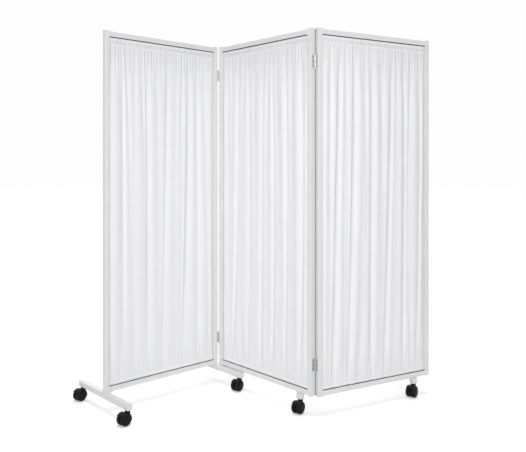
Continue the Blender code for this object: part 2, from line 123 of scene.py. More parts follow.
# Small pleats: edge, how many, how far they reach, where they start, where they are full, and their share
pleat_sets = (
    ("header", 34, 0.30, 0.028, 0.036, 1.0),
    ("header", 47, 0.07, 0.028, 0.035, 0.5),
    ("hem", 34, 0.13, 0.012, 0.022, 0.7),
)
pleat_wander_share = 0.34
smallest_pleat_share = 0.35
pleat_fading = 1.4
pleat_fullness = 1.5          # of the crests between pleats

# How dark the creases are painted: painted shade in the folds, the pleats and the sewn edges
middle_shade = 0.5
shade_depth = 0.018           # from unshaded to fully shaded cloth
pleat_shade = 0.40
sewn_shade = 0.44

# How far each curtain draws in from its two posts
drawn_in = {"left": (0.002, 0.0035), "centre": (0.0015, 0.002), "right": (0.002, 0.0085)}

# The creases between each curtain's folds: their places over its width, below the header, at mid height
# and above the hem, and how deep they look there
creases = {
    "left": (
        ((0.116, 0.123, 0.121), (0.55, 0.80, 0.30)), ((0.149, 0.185, 0.208), (0.55, 0.22, 0.05)),
        ((0.219, 0.223, 0.215), (0.45, 0.15, 0.30)), ((0.290, 0.313, 0.321), (0.50, 0.20, 0.10)),
        ((0.334, 0.332, 0.338), (0.50, 0.95, 0.55)), ((0.414, 0.445, 0.453), (0.45, 0.30, 0.15)),
        ((0.532, 0.511, 0.485), (0.75, 0.75, 0.45)), ((0.615, 0.615, 0.623), (0.40, 0.25, 0.10)),
        ((0.673, 0.656, 0.656), (0.50, 0.30, 0.15)), ((0.735, 0.725, 0.683), (0.95, 1.00, 0.65)),
        ((0.818, 0.836, 0.837), (0.65, 0.60, 0.55)), ((0.880, 0.928, 0.951), (0.40, 0.35, 0.35)),
    ),
    "centre": (
        ((0.060, 0.077, 0.071), (0.45, 0.30, 0.10)), ((0.126, 0.110, 0.100), (0.30, 0.15, 0.10)),
        ((0.210, 0.191, 0.139), (0.70, 0.80, 0.60)), ((0.265, 0.255, 0.244), (0.40, 0.15, 0.30)),
        ((0.336, 0.343, 0.328), (0.60, 0.65, 0.45)), ((0.399, 0.409, 0.399), (0.45, 0.20, 0.10)),
        ((0.507, 0.493, 0.481), (0.70, 0.80, 0.60)), ((0.557, 0.557, 0.557), (0.45, 0.20, 0.20)),
        ((0.610, 0.635, 0.615), (0.60, 0.95, 0.60)), ((0.652, 0.690, 0.699), (0.40, 0.15, 0.10)),
        ((0.765, 0.778, 0.759), (0.75, 0.80, 0.60)), ((0.822, 0.835, 0.835), (0.50, 0.15, 0.15)),
        ((0.939, 0.947, 0.923), (0.85, 0.80, 0.60)),
    ),
    "right": (
        ((0.075, 0.064, 0.054), (0.55, 0.35, 0.15)), ((0.163, 0.135, 0.100), (0.90, 1.00, 0.85)),
        ((0.222, 0.218, 0.218), (0.50, 0.15, 0.10)), ((0.299, 0.282, 0.243), (0.90, 1.00, 0.85)),
        ((0.390, 0.399, 0.351), (0.60, 0.25, 0.45)), ((0.468, 0.464, 0.462), (0.75, 0.95, 0.70)),
        ((0.555, 0.564, 0.545), (0.65, 0.30, 0.20)), ((0.665, 0.644, 0.600), (0.85, 1.00, 0.85)),
        ((0.709, 0.704, 0.679), (0.40, 0.15, 0.30)), ((0.780, 0.799, 0.790), (0.90, 1.00, 0.70)),
        ((0.859, 0.838, 0.859), (0.70, 0.30, 0.40)), ((0.949, 0.958, 0.930), (0.55, 0.50, 0.45)),
    ),
}

# Sewn edges of a curtain, from the strip inwards: distance, half thickness, and share of the puckers
header_section = (
    (0.0000, 0.0008, 0.0), (0.0014, 0.0026, 0.15), (0.0045, 0.0036, 0.30), (0.0080, 0.0034, 0.40),
    (0.0105, 0.0029, 0.65), (0.0125, 0.0025, 1.0), (0.0160, 0.0025, 1.0), (0.0200, 0.0025, 1.0),
    (0.0240, 0.0025, 0.95), (0.0262, 0.0027, 0.75), (0.0280, 0.0029, 0.55), (0.0296, 0.0025, 0.40),
    (0.0310, 0.0017, 0.25), (0.0322, 0.0008, 0.0),
)
hem_section = (
    (0.0000, 0.0008, 0.0), (0.0012, 0.0024, 0.15), (0.0035, 0.0031, 0.30), (0.0065, 0.0033, 0.35),
    (0.0095, 0.0028, 0.30), (0.0118, 0.0019, 0.20), (0.0138, 0.0008, 0.0),
)

# Sizes of the castors. Heights are from the floor, and the arch's ends are measured up from behind the axle.
castor_trail = 0.020
castor_heading = radians(236)
wheel_radius = 0.025
hood_inner = 0.0262
hood_rear = radians(38)
hood_front = radians(200)
hood_edge = 0.0005
web_thickness = 0.005
web_radius = 0.0270
boss_radius = 0.008
boss_proud = 0.0004
axle_radius = 0.0029
axle_length = 0.0294
neck_foot_radius = 0.0126
neck_top_radius = 0.0106
neck_length = 0.0246
neck_middle = 0.0445
neck_edge = 0.0013
arch_room_radius = 0.0272     # cut out of the neck, within the arch's wall
arch_room_length = 0.050
stem_hole_radius = 0.0043
stem_hole_length = 0.012
stem_hole_middle = 0.0537

# Sizes of the right fold's grey bead, which stands in for the shadow in the fold's gap: painted shade. Its
# lip lies on the post, in front of the bead.
bead_radius = 0.0025
lip_start = -0.0030
lip_end = -0.0062
lip_tip = 0.0012              # from the pivot to the lip's far edge
bead_bottom_gap = 0.0015
bead_end_gap = 0.0005

# Sizes of the screws and welds
sunk_head_radius = 0.0027
sunk_neck_radius = 0.0017
sunk_head_height = 0.0011
sunk_slot_depth = 0.0007
sunk_slot_reach = 0.0015
sunk_shank_radius = 0.0015
sunk_shank_length = 0.0068
sunk_shank_middle = -0.0040
round_head_radius = 0.0036
round_head_height = 0.0022
round_head_edge = 0.0012
round_slot_depth = 0.0010
round_slot_reach = 0.0022
plate_shank_radius = 0.0021
plate_shank_length = 0.0080
plate_shank_middle = -0.0035
slot_half_width = 0.0004
first_slot_turn = 0.4
slot_turn_step = 0.7          # from one hinge screw's slot to the next
slot_overrun = 0.001
plate_screw_level = 0.0834
plate_screw_places = {"left": -0.59175, "centre": 0.56825, "right": 0.51775}    # along each panel
weld_half_width = 0.0009
weld_proud = 0.00008

# The studio: its floor, what the soft boxes point at, and the camera, from the left fold's pivot
floor_size = 40
floor_middle = (0, 8, 0)
screen_middle = Vector((-0.05, 0.1, 0.9))
camera_across = 0.1949
camera_away = -3.2061
camera_height = 1.0645


# Where the pieces stand

joint_place = {joint["name"]: Vector(joint["pos_m"]) for joint in frame["joints"]}


def standing(place, turn):
    return Matrix.Translation((place.x, place.y, 0)) @ Matrix.Rotation(turn, 4, "Z")


# Each panel's place, and in it the panel's left end and the middle of its tubes
panels = {
    "left": (standing(joint_place["left_fold"], panel_turns["left"]), left_start, post_middle),
    "centre": (standing(joint_place["left_fold"], panel_turns["centre"]), half_gap, post_middle),
    "right": (standing(joint_place["right_fold"], panel_turns["right"]), half_gap, -post_middle),
}


# Finishes

class Value:
    """A number that varies over a finish. Sums on it are written as usual."""

    def __init__(self, finish, socket):
        self.finish = finish
        self.socket = socket

    def combine(self, operation, *terms):
        return self.finish.node("ShaderNodeMath", {"operation": operation}, dict(enumerate(terms)))

    def __add__(self, other):
        return self.combine("ADD", self, other)

    def __mul__(self, other):
        return self.combine("MULTIPLY", self, other)

    def sine(self):
        return self.combine("SINE", self)

    def above(self, low, high):
        """0 below the low value, 1 above the high one, and even between them."""
        return self.finish.node("ShaderNodeMapRange", {"clamp": True},
                                {"Value": self, "From Min": low, "From Max": high})

    __radd__ = __add__
    __rmul__ = __mul__


class Finish:
    """A material, with one method that adds any node to it."""

    def __init__(self, name):
        self.material = bpy.data.materials.new(name)
        self.material.use_nodes = True
        self.tree = self.material.node_tree
        self.surface = self.tree.nodes["Principled BSDF"]

    def connect(self, socket, value):
        if isinstance(value, Value):
            self.tree.links.new(value.socket, socket)
        elif isinstance(value, tuple) and socket.type == "RGBA":
            socket.default_value = (*value, 1)
        else:
            socket.default_value = value

    def node(self, kind, settings, sockets, output=0):
        made = self.tree.nodes.new(kind)
        for name, value in settings.items():
            setattr(made, name, value)
        for name, value in sockets.items():
            self.connect(made.inputs[name], value)
        return Value(self, made.outputs[output])

    def place(self, output="Object"):
        return self.node("ShaderNodeTexCoord", {}, {}, output)

    def stretched(self, where, scale):
        return self.node("ShaderNodeMapping", {}, {"Vector": where, "Scale": scale})

    def noise(self, where, scale, detail=2.0, roughness=0.5):
        return self.node("ShaderNodeTexNoise", {},
                         {"Vector": where, "Scale": scale, "Detail": detail, "Roughness": roughness})

    def blend(self, share, first, second):
        return self.node("ShaderNodeMix", {"data_type": "RGBA"}, {0: share, 6: first, 7: second}, 2)

    def parts(self, where):
        """The two first coordinates of a place."""
        made = self.tree.nodes.new("ShaderNodeSeparateXYZ")
        self.connect(made.inputs[0], where)
        return Value(self, made.outputs[0]), Value(self, made.outputs[1])

    def relief(self, height, depth, strength=1.0):
        bump = self.node("ShaderNodeBump", {}, {"Height": height, "Distance": depth, "Strength": strength})
        self.set(Normal=bump)

    def set(self, **values):
        for name, value in values.items():
            self.connect(self.surface.inputs[name.replace("_", " ")], value)


def painted_steel(name, pale, shaded):
    """Powder coat: a fine orange-peel surface, faintly mottled, with small scuffs."""
    finish = Finish(name)
    where = finish.place()
    mottle = finish.noise(where, 14, 3)
    peel = finish.noise(where, 900, 2)
    scuff = finish.noise(finish.stretched(where, (1, 1, 0.35)), 60, 6, 0.7).above(0.70, 0.80)
    tone = finish.blend(mottle, shaded, pale)
    finish.set(Base_Color=finish.blend(scuff * 0.25, tone, (0.50, 0.50, 0.50)))
    finish.set(Roughness=0.34 + peel * 0.12 + scuff * 0.15)
    finish.relief(peel + mottle * 0.5, 0.00012, 0.6)
    return finish.material


def moulded_plastic(name, colour, worn, grain_scale, roughness):
    """Moulded plastic with a fine spark grain and dull rub marks."""
    finish = Finish(name)
    where = finish.place()
    grain = finish.noise(where, grain_scale, 2)
    rub = finish.noise(where, 130, 5, 0.65).above(0.52, 0.75)
    finish.set(Base_Color=finish.blend(rub * 0.6, colour, worn))
    finish.set(Roughness=roughness + grain * 0.12 + rub * 0.14)
    finish.relief(grain, 0.00010, 0.5)
    return finish.material


def zinc_plate(name, bright, dull, brushed):
    """Zinc plate: blue-white crystals over drawn steel, duller in scattered stains."""
    finish = Finish(name)
    where = finish.place()
    crystals = finish.node("ShaderNodeTexVoronoi", {"feature": "SMOOTH_F1"},
                           {"Vector": where, "Scale": 420})
    drawn = finish.noise(finish.stretched(where, brushed), 90, 4, 0.6)
    stain = finish.noise(where, 160, 4)
    finish.set(Base_Color=finish.blend(stain.above(0.35, 0.7), bright, dull))
    finish.set(Roughness=0.34 + drawn * 0.16 + crystals * 0.10)
    finish.surface.inputs["Metallic"].default_value = 1
    finish.relief(drawn + crystals * 0.3, 0.00006, 0.5)
    return finish.material


def curtain_cloth(name, white, shade, crease):
    """Plain weave of fine white yarn with slubs, on the cloth's own lengthwise and crosswise measure.
    Its creases are painted greyer: painted shade, where less light reaches the cloth."""
    finish = Finish(name)
    along, down = finish.parts(finish.place("UV"))
    warp = (along * (2 * pi / yarn_spacing)).sine()
    weft = (down * (2 * pi / yarn_spacing)).sine()
    weave = warp * weft
    slub = finish.noise(finish.stretched(finish.place("UV"), (900, 24, 1)), 1, 3, 0.6)
    cross = finish.noise(finish.stretched(finish.place("UV"), (20, 700, 1)), 1, 3, 0.6)
    crumple = finish.noise(finish.stretched(finish.place("UV"), (26, 9, 1)), 1, 4, 0.55)
    shine = slub * 0.5 + cross * 0.5
    # Painted shade: the crease attribute mixes the crease colour into the cloth
    painted_crease_shade = finish.node("ShaderNodeAttribute", {"attribute_name": "crease"}, {}, 2).above(0.42, 1.0)
    tone = finish.blend(shine.above(0.3, 0.7), shade, white)
    finish.set(Base_Color=finish.blend(painted_crease_shade * 0.8, tone, crease))
    finish.set(Roughness=0.86 + weave * 0.06)
    finish.surface.inputs["Sheen Weight"].default_value = 0.15
    finish.surface.inputs["Sheen Roughness"].default_value = 0.5
    finish.relief(weave * 0.12 + shine * 0.3 + crumple * 1.6, 0.0009, 0.55)
    return finish.material


def shadow_strip_finish(name, colour, worn):
    """Near-black finish with fine lines along it, for the strips that stand in for the shadow between rail
    and cloth: painted shadow.
    """
    finish = Finish(name)
    where = finish.place()
    level = finish.node("ShaderNodeSeparateXYZ", {}, {"Vector": where}, 2)
    lines = (level * (2 * pi / rib_spacing)).sine()
    dust = finish.noise(where, 70, 4)
    finish.set(Base_Color=finish.blend(dust, colour, worn))
    finish.set(Roughness=0.55 + dust * 0.2)
    finish.relief(lines, 0.00012, 0.5)
    return finish.material


paint = painted_steel("frame_paint", (0.75, 0.75, 0.745), (0.715, 0.715, 0.715))
cap_paint = moulded_plastic("cap_grey_plastic", (0.735, 0.735, 0.735), (0.67, 0.67, 0.67), 1500, 0.46)
zinc = zinc_plate("hinge_zinc", (0.56, 0.585, 0.61), (0.40, 0.425, 0.45), (1, 1, 0.05))
steel = zinc_plate("stem_zinc", (0.66, 0.69, 0.72), (0.48, 0.51, 0.54), (0.3, 0.3, 3))
screw_steel = zinc_plate("screw_steel", (0.32, 0.34, 0.36), (0.16, 0.17, 0.18), (1, 1, 1))
# The third colour is painted shade, laid into the cloth's creases and gathers
cloth = curtain_cloth("curtain_cloth", (0.845, 0.845, 0.86), (0.81, 0.81, 0.825), (0.61, 0.61, 0.63))
# Painted shadow: the strips' near-black colour stands in for the shadow between rail and cloth
shadow_strip_black = shadow_strip_finish("shadow_gap_strip", (0.020, 0.020, 0.021), (0.045, 0.045, 0.046))
# Painted shade: the grey of the right fold's bead stands in for the shadow in the fold's gap
gap_shade_grey = moulded_plastic("gap_shade_grey", (0.34, 0.34, 0.34), (0.42, 0.42, 0.42), 900, 0.55)
hood_black = moulded_plastic("castor_hood_black", (0.006, 0.006, 0.007), (0.014, 0.014, 0.015), 1800, 0.30)
wheel_black = moulded_plastic("castor_wheel_black", (0.005, 0.005, 0.006), (0.012, 0.012, 0.013), 1400,
                              0.42)
for dark in (hood_black, wheel_black, shadow_strip_black):
    dark.node_tree.nodes["Principled BSDF"].inputs["Specular IOR Level"].default_value = 0.12


# Work on one piece at a time

start_side = 0.001            # of the plane that a drawn line starts from
merge_distance = 0.00001


def only(piece):
    bpy.ops.object.select_all(action="DESELECT")
    piece.select_set(True)
    bpy.context.view_layer.objects.active = piece
    return piece


def place_in_mesh(piece):
    """Bring the piece's object to the origin, with its place and turn in its mesh."""
    only(piece)
    bpy.ops.object.transform_apply(location=True, rotation=True, scale=True)
    return piece


def apply(piece, kind, **settings):
    """Add one modifier to the piece and apply it."""
    only(piece)
    modifier = piece.modifiers.new(kind.lower(), kind)
    for name, value in settings.items():
        setattr(modifier, name, value)
    bpy.ops.object.modifier_apply(modifier=modifier.name)
    return piece


def soften(piece, width, segments=2, angle=35):
    """Ease the piece's sharp edges."""
    return apply(piece, "BEVEL", width=width, segments=segments, limit_method="ANGLE",
                 angle_limit=radians(angle))


def combine(piece, other, operation):
    """Join another shape to the piece, or cut it out."""
    apply(piece, "BOOLEAN", object=other, operation=operation, solver="EXACT")
    bpy.data.objects.remove(other, do_unlink=True)
    return piece


def round_bar(radius, depth, place, sides=48, turn=(0, 0, 0), far_radius=None):
    """Cylinder, or a cone with a second radius, centred on its place."""
    if far_radius is None:
        bpy.ops.mesh.primitive_cylinder_add(
            vertices=sides, radius=radius, depth=depth, location=place, rotation=turn)
    else:
        bpy.ops.mesh.primitive_cone_add(
            vertices=sides, radius1=radius, radius2=far_radius, depth=depth, location=place, rotation=turn)
    return place_in_mesh(bpy.context.object)


def box(low, high):
    low, high = Vector(low), Vector(high)
    bpy.ops.mesh.primitive_cube_add(size=1, location=(low + high) / 2, scale=high - low)
    return place_in_mesh(bpy.context.object)


def draw(points, closed):
    """Draw a line of edges point by point, and fill it when it is closed. Ends in edit mode."""
    points = [Vector(point) for point in points]
    bpy.ops.mesh.primitive_plane_add(size=start_side, location=points[0])
    only(bpy.context.object)
    bpy.ops.object.mode_set(mode="EDIT")
    bpy.ops.mesh.select_all(action="SELECT")
    bpy.ops.mesh.merge(type="CENTER")
    for before, after in zip(points, points[1:]):
        bpy.ops.mesh.extrude_vertices_move(TRANSFORM_OT_translate={"value": after - before})
    bpy.ops.mesh.select_all(action="SELECT")
    if closed:
        bpy.ops.mesh.edge_face_add()


def finish_edit():
    """Close seams and poles, turn the faces outwards and leave edit mode."""
    bpy.ops.mesh.select_all(action="SELECT")
    bpy.ops.mesh.remove_doubles(threshold=merge_distance)
    bpy.ops.mesh.normals_make_consistent(inside=False)
    bpy.ops.object.mode_set(mode="OBJECT")
    return place_in_mesh(bpy.context.object)


def smooth(piece, angle=32):
    only(piece)
    bpy.ops.object.shade_smooth_by_angle(angle=radians(angle))
    return piece


def dress(piece, name, body, material):
    """Name the piece, give it its finish, and let it ride on its body."""
    piece.name = name
    piece.data.name = name
    piece.data.materials.clear()
    piece.data.materials.append(material)
    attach(piece, body)
    return piece


def copied(model, place):
    """Copy of a model piece, with its own mesh, moved to its place."""
    piece = model.copy()
    piece.data = model.data.copy()
    piece.data.transform(place)
    bpy.context.scene.collection.objects.link(piece)
    return piece


def joined(pieces):
    bpy.ops.object.select_all(action="DESELECT")
    for piece in pieces:
        piece.select_set(True)
    bpy.context.view_layer.objects.active = pieces[0]
    bpy.ops.object.join()
    return bpy.context.object


def drop(model):
    bpy.data.objects.remove(model, do_unlink=True)


# Curtains: one gathered cloth in each frame, its header and its hem sewn round a wire

cloth_top = frame_top - tube_side - strip_heights["top"]
cloth_bottom = frame_bottom + tube_side + strip_heights["bottom"]
wire_levels = {"header": cloth_top - header_wire_drop, "hem": cloth_bottom + hem_wire_rise}


def eased(value, low, high):
    """0 up to the low value, 1 from the high one, and a smooth rise between them."""
    share = np.clip((value - low) / (high - low), 0, 1)
    return share * share * (3 - 2 * share)


def rounded_crest(phase, fullness):
    """Round crests with creases at whole numbers of the phase; fuller crests leave narrower creases."""
    swing = np.sqrt(np.sin(pi * phase) ** 2 + crease_blunting)
    return ((swing - crease_swing) / crest_rise) ** (1 / fullness)


def through(share, values):
    """Smooth curve through a value below the header, one at mid height and one above the hem."""
    high, middle, low = values
    along = (share - mid_height_share) / level_step_share
    return middle + (low - high) / 2 * along + ((low + high) / 2 - middle) * along ** 2


def crease_depths(looks):
    """Depths of one crease at its three levels: what looks shallow is shallower still."""
    return [round(look ** power, 2) for look, power in zip(looks, crease_powers)]


def fold_sway(side, across, height):
    """How far the folds bring the cloth behind its plane, over rows of one height."""
    fall = (cloth_top - height[:, 0]) / (cloth_top - cloth_bottom)
    lines = [(places, crease_depths(looks)) for places, looks in creases[side]]
    at_post = [post_crease_share]
    rows = []
    for share, row in zip(fall, across):
        places = [0] + [through(share, place) for place, _ in lines] + [1]
        depths = at_post + [max(through(share, depth), 0) for _, depth in lines] + at_post
        numbers = np.arange(len(places))
        phase = np.interp(row, places, numbers)
        crest = 1 - np.interp(phase, numbers, depths) * (1 - rounded_crest(phase, fold_fullness))
        spans = np.interp(phase, numbers[:-1] + 0.5, np.diff(places))
        widths = np.minimum(spans / usual_fold_width, widest_fold)
        rows.append(fold_middle_share - crest * (narrow_fold_share + (1 - narrow_fold_share) * widths))
    fall = fall[:, None]
    loose = 1 - gathered_share
    size = gathered_share + loose * eased(fall, *fold_opening) * (1 - loose * eased(fall, *fold_closing))
    slack = slack_share * np.sin(2 * pi * (5.3 * across - 1.6 * fall))
    slack = slack * np.sin(2 * pi * (1.3 * fall + 2.7 * across))
    return 2 * fold_depths[side] * size * (np.array(rows) + slack)


def small_pleats(across, distance, count, reach, seed):
    """Grooves that the gathering presses into the cloth, each fading out at its own length."""
    chance = np.random.default_rng(seed)
    places = np.linspace(0, 1, count + 1)
    places[1:-1] += chance.uniform(-pleat_wander_share, pleat_wander_share, count - 1) / count
    lengths = chance.uniform(smallest_pleat_share, 1.0, count + 1) * reach
    depths = chance.uniform(smallest_pleat_share, 1.0, count + 1)
    phase = np.interp(across, places, np.arange(count + 1))
    nearest = np.rint(phase).astype(int)
    remaining = np.exp(-(distance / lengths[nearest]) ** pleat_fading)
    return (1 - rounded_crest(phase, pleat_fullness)) * depths[nearest] * remaining


def cloth_depth(side, across, height, seed):
    """How far the whole cloth lies behind its plane, and how much shade is painted into its creases."""
    distances = {"header": cloth_top - height, "hem": height - cloth_bottom}
    pleats = np.zeros_like(across)
    for number, (edge, count, reach, start, full, share) in enumerate(pleat_sets):
        distance = distances[edge]
        grooves = small_pleats(across, distance, count, reach, seed + number)
        pleats += share * (grooves * eased(distance, start, full))
    sway = fold_sway(side, across, height)
    # The second value is painted shade, darker where the folds and pleats lie deeper
    return sway + pleat_depth * pleats, middle_shade + sway / shade_depth + pleat_shade * pleats


def cloth_rows():
    """Heights of the cloth's rows, close together near both ends."""
    share = np.linspace(-1, 1, cloth_row_count)
    spread = np.sign(share) * (1 - (1 - np.abs(share)) ** row_crowding)
    return (cloth_top + cloth_bottom) / 2 + (cloth_top - cloth_bottom) / 2 * spread


def build_grid(name, points, measure, shade, around):
    """Mesh over rows and columns of points, with each point's measure on the flat cloth, and its painted
    shade.
    Around closes each row into a ring."""
    rows, columns = points.shape[:2]
    last = columns if around else columns - 1
    place, step = np.meshgrid(np.arange(rows - 1), np.arange(last), indexing="ij")
    after = (step + 1) % columns
    faces = np.stack([place * columns + step, place * columns + after,
                      (place + 1) * columns + after, (place + 1) * columns + step], axis=-1).reshape(-1, 4)
    mesh = bpy.data.meshes.new(name)
    mesh.from_pydata(points.reshape(-1, 3).tolist(), [], faces.tolist())
    flat = mesh.uv_layers.new(name="flat_cloth")
    corner = np.zeros(len(mesh.loops), dtype=int)
    mesh.loops.foreach_get("vertex_index", corner)
    flat.data.foreach_set("uv", measure.reshape(-1, 2)[corner].astype(np.float32).ravel())
    # The crease attribute carries painted shade into the cloth's finish
    depth = mesh.attributes.new("crease", "FLOAT", "POINT")
    depth.data.foreach_set("value", np.clip(shade, 0, 1).astype(np.float32).ravel())
    piece = bpy.data.objects.new(name, mesh)
    bpy.context.scene.collection.objects.link(piece)
    return piece


def along_cloth(side, across, height):
    """Place along the panel, over the cloth's width; the cloth draws in from the posts as it hangs."""
    fall = (cloth_top - height) / (cloth_top - cloth_bottom)
    waist = eased(fall, *waist_opening) * (1 - eased(fall, *waist_closing))
    left_gap, right_gap = [cloth_side_gap + (gap - cloth_side_gap) * waist for gap in drawn_in[side]]
    first = panels[side][1] + tube_side
    return first + left_gap + (opening_width - left_gap - right_gap) * across


def hang_curtain(side, seed):
    """The cloth itself, from strip to strip."""
    place, _, middle = panels[side]
    across, height = np.meshgrid(np.linspace(0, 1, cloth_columns), cloth_rows())
    depth, shade = cloth_depth(side, across, height, seed)
    points = np.stack([along_cloth(side, across, height), middle + depth, height], axis=-1)
    steps = np.diff(points[len(points) // 2], axis=0)
    run = np.concatenate([[0], np.cumsum(np.linalg.norm(steps, axis=1))])
    measure = np.stack([np.broadcast_to(run, depth.shape), height], axis=-1)
    piece = build_grid(f"{side}_curtain_cloth", points, measure, shade, False)
    piece.data.transform(place)
    apply(piece, "SOLIDIFY", thickness=cloth_thickness, offset=0, use_even_offset=True)
    return smooth(piece, 70)


def sew_edge(side, edge, section, seed):
    """Doubled cloth along the top or the bottom, puckered where the wire gathers it."""
    place, _, middle = panels[side]
    start, turn = (cloth_top, -1) if edge == "header" else (cloth_bottom, 1)
    loop = list(section) + [(distance, -half, share) for distance, half, share in reversed(section)]
    across, distance = np.meshgrid(np.linspace(0, 1, cloth_columns), [point[0] for point in loop])
    half = np.array([point[1] for point in loop])[:, None]
    share = np.array([point[2] for point in loop])[:, None]
    large, small = pucker_counts
    puckers = small_pleats(across, 0, large, 1, seed + 3) + 0.5 * small_pleats(across, 0, small, 1, seed + 4)
    level = start + turn * distance
    sway = fold_sway(side, across, level)
    room = np.maximum(np.abs(half) - wire_radius - wire_cover - np.abs(sway), 0)
    thinner = np.minimum(pucker_depth * share * puckers, room)
    swell = edge_waviness * share * np.sin(2 * pi * swell_count * across + seed)
    height = level + edge_waviness * share * np.sin(2 * pi * dip_count * across + 2 * seed)
    along = along_cloth(side, across, height)
    depth = middle + sway - np.sign(half) * (np.abs(half) - thinner + swell)
    points = np.stack([along, depth, height], axis=-1).swapaxes(0, 1)
    measure = np.stack([gathered_fullness * along, level], axis=-1).swapaxes(0, 1)
    # Painted shade: the gathered band is greyed, and its puckers more
    shade = share * (sewn_shade + puckers)
    piece = build_grid(f"{side}_curtain_{edge}", points, measure, shade.T, True)
    piece.data.transform(place)
    only(piece)
    bpy.ops.object.mode_set(mode="EDIT")
    bpy.ops.mesh.select_all(action="SELECT")
    bpy.ops.mesh.fill_holes(sides=0)
    finish_edit()
    return smooth(piece, 70)


def gathering_wire(side, edge):
    """Wire in the header or the hem, from post to post."""
    place, first, middle = panels[side]
    wire = round_bar(wire_radius, opening_width - 2 * wire_end_gap,
                     (first + panel_width / 2, middle, wire_levels[edge]), 16, (0, pi / 2, 0))
    wire.data.transform(place)
    return smooth(wire)


def shadow_gap_strip(side, end):
    """Near-black strip along the rail over the cloth's edge, standing in for the shadow between rail and
    cloth: painted shadow.
    """
    place, first, middle = panels[side]
    low = cloth_top - strip_lap if end == "top" else frame_bottom + tube_side
    start = first + tube_side + strip_end_gap
    stop = first + panel_width - tube_side - strip_end_gap
    strip = box((start, middle - strip_depth / 2, low),
                (stop, middle + strip_depth / 2, low + strip_heights[end] + strip_lap))
    soften(strip, strip_edge, 2)
    strip.data.transform(place)
    return smooth(strip)


for side, seed in (("left", 11), ("centre", 23), ("right", 37)):
    body = f"{side}_panel"
    curtain = dress(hang_curtain(side, seed), f"{side}_curtain_cloth", body, cloth)
    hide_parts(f"{side}_curtain")
    for edge, section in (("header", header_section), ("hem", hem_section)):
        doubled = sew_edge(side, edge, section, seed)
        dress(doubled, f"{side}_curtain_{edge}", body, cloth)
        dress(gathering_wire(side, edge), f"{side}_curtain_{edge}_wire", body, steel)
    for end in ("top", "bottom"):
        dress(shadow_gap_strip(side, end), f"{side}_{end}_shadow_gap_strip", body, shadow_strip_black)


# Castors: hood with its neck, arch and web, and two wheels

axle_place = Vector((castor_trail, 0, wheel_radius))


def at_axle(radius, angle, across):
    return axle_place + Vector((radius * np.cos(angle), across, radius * np.sin(angle)))


def hood_arch():
    """Arch over the wheels, spun from its section round the axle."""
    outer = [(0.0203, 0.0259), (0.0197, 0.0266), (0.0160, 0.0276), (0.0075, 0.0282), (0.0068, 0.0278),
             (0.0061, 0.0278), (0.0054, 0.0283)]
    inner = [(0.0200, 0.0241), (0.0138, hood_inner)]
    top = outer + [(-across, radius) for across, radius in reversed(outer)]
    under = [(-across, radius) for across, radius in inner] + list(reversed(inner))
    draw([at_axle(radius, hood_rear, across) for across, radius in top + under], True)
    bpy.ops.mesh.spin(steps=40, angle=hood_front - hood_rear, center=axle_place, axis=(0, 1, 0))
    return soften(finish_edit(), hood_edge, 2, 60)


def hood_neck():
    """Neck round the stem, cut away where the arch closes over the wheels."""
    neck = round_bar(neck_foot_radius, neck_length, (0, 0, neck_middle), 48, far_radius=neck_top_radius)
    soften(neck, neck_edge, 3, 50)
    room = round_bar(arch_room_radius, arch_room_length, axle_place, 64, (pi / 2, 0, 0))
    combine(neck, room, "DIFFERENCE")
    stem_hole = round_bar(stem_hole_radius, stem_hole_length, (0, 0, stem_hole_middle), 24)
    return combine(neck, stem_hole, "DIFFERENCE")


def hood_web():
    """Web between the wheels, cut off below at both ends of the arch."""
    only(round_bar(web_radius, web_thickness, axle_place, 72, (pi / 2, 0, 0)))
    bpy.ops.object.mode_set(mode="EDIT")
    for angle, side in ((hood_rear, -1), (hood_front, 1)):
        bpy.ops.mesh.select_all(action="SELECT")
        normal = (np.sin(angle) * side, 0, -np.cos(angle) * side)
        bpy.ops.mesh.bisect(plane_co=axle_place, plane_no=normal, use_fill=True, clear_inner=True)
    return finish_edit()


def wheel_model():
    """Wheel with its axle along Y: bored hub, tread with round shoulders, and a domed face with rings."""
    profile = [
        (0.0033, 0.0151), (0.0033, 0.0031), (0.0075, 0.0031), (0.0080, 0.0036), (0.0080, 0.0042),
        (0.0215, 0.0048), (0.0222, 0.0034), (0.0236, 0.0031), (0.0245, 0.0035), (0.0250, 0.0048),
        (0.0250, 0.0100), (0.0250, 0.0142), (0.0247, 0.0160), (0.0241, 0.0178), (0.0235, 0.0186),
        (0.0231, 0.0186), (0.0229, 0.0192), (0.0222, 0.0206), (0.0208, 0.0221), (0.0188, 0.0232),
        (0.0160, 0.0240), (0.0128, 0.02445), (0.0106, 0.0245), (0.0102, 0.0240), (0.0096, 0.0240),
        (0.0092, 0.0246), (0.0060, 0.02475), (0, 0.0248),
    ]
    draw([(radius, across, 0) for radius, across in [(0, 0.0151)] + profile], False)
    bpy.ops.mesh.spin(steps=64, angle=2 * pi, center=(0, 0, 0), axis=(0, 1, 0))
    wheel = finish_edit()
    return smooth(wheel, 28)


def hood_model():
    """Hood in one piece: neck, arch and web, with a boss round the axle and the axle itself."""
    hood = combine(hood_neck(), hood_arch(), "UNION")
    combine(hood, hood_web(), "UNION")
    boss = round_bar(boss_radius, web_thickness + 2 * boss_proud, axle_place, 40, (pi / 2, 0, 0))
    combine(hood, boss, "UNION")
    axle = round_bar(axle_radius, axle_length, axle_place, 24, (pi / 2, 0, 0))
    combine(hood, axle, "UNION")
    return smooth(hood, 30)


